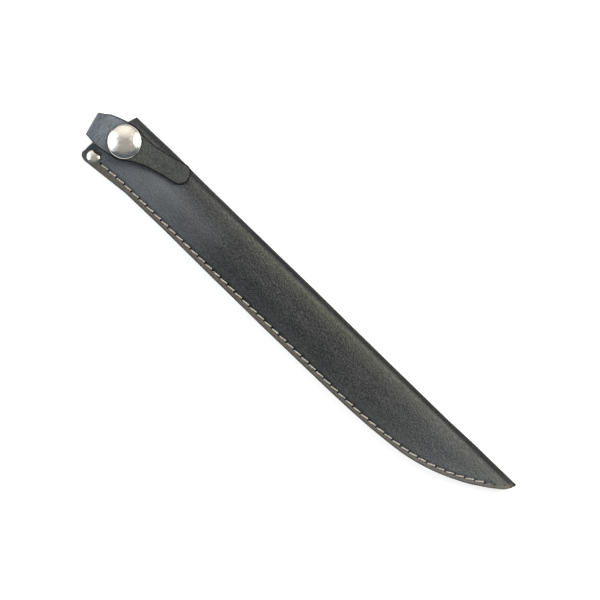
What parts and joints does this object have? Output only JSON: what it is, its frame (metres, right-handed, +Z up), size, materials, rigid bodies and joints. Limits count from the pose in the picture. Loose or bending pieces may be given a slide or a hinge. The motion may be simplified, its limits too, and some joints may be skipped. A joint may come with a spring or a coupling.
{
  "type": "knife sheath",
  "caption": "Folded leather knife sheath with a stitched curved edge, a riveted mouth corner and a strap that snaps shut over the mouth.",
  "frame": {"origin": "middle of the mouth, on the surface that the sheath lies on", "axes": "+X along the sheath from the mouth to the tip, +Y towards the folded edge, +Z up towards the snap"},
  "size_m": [0.2449, 0.0302, 0.0203],
  "materials": {
    "body_leather": "smooth black leather, semi-matt",
    "welt_leather": "matt black leather edge",
    "strap_leather": "smooth black leather, semi-matt",
    "thread": "pale cream waxed thread",
    "chrome": "polished",
    "spring_steel": "drawn wire"
  },
  "bodies": {
    "sheath": {"sheath_leather": "body_leather", "welt_strip": "welt_leather", "needle_thread": "thread", "bobbin_thread": "thread", "corner_rivet_cap": "chrome", "corner_rivet_post": "chrome", "snap_stud": "chrome", "snap_eyelet": "chrome", "strap_rear_leaf": "strap_leather", "strap_rivet_cap": "chrome", "strap_rivet_post": "chrome"},
    "strap_loop": {"strap_bend": "strap_leather"},
    "strap_flap": {"strap_front_leaf": "strap_leather", "snap_cap": "chrome", "snap_cap_post": "chrome", "snap_socket": "chrome", "snap_spring_ring": "spring_steel"}
  },
  "joints": [
    {"name": "strap_rear_flex", "type": "hinge", "parent": "sheath", "child": "strap_loop", "pos_m": [-0.0086, -0.00191, 0.00865], "axis": [0.2504, -0.9681, 0], "range_deg": [0, 60]},
    {"name": "strap_front_flex", "type": "hinge", "parent": "strap_loop", "child": "strap_flap", "pos_m": [-0.00328, -0.00053, 0.01705], "axis": [0.2504, -0.9681, 0], "range_deg": [0, 100]}
  ],
  "couplings": [
    {"joint": "strap_rear_flex", "follows": "strap_front_flex", "ratio": 0.6}
  ]
}
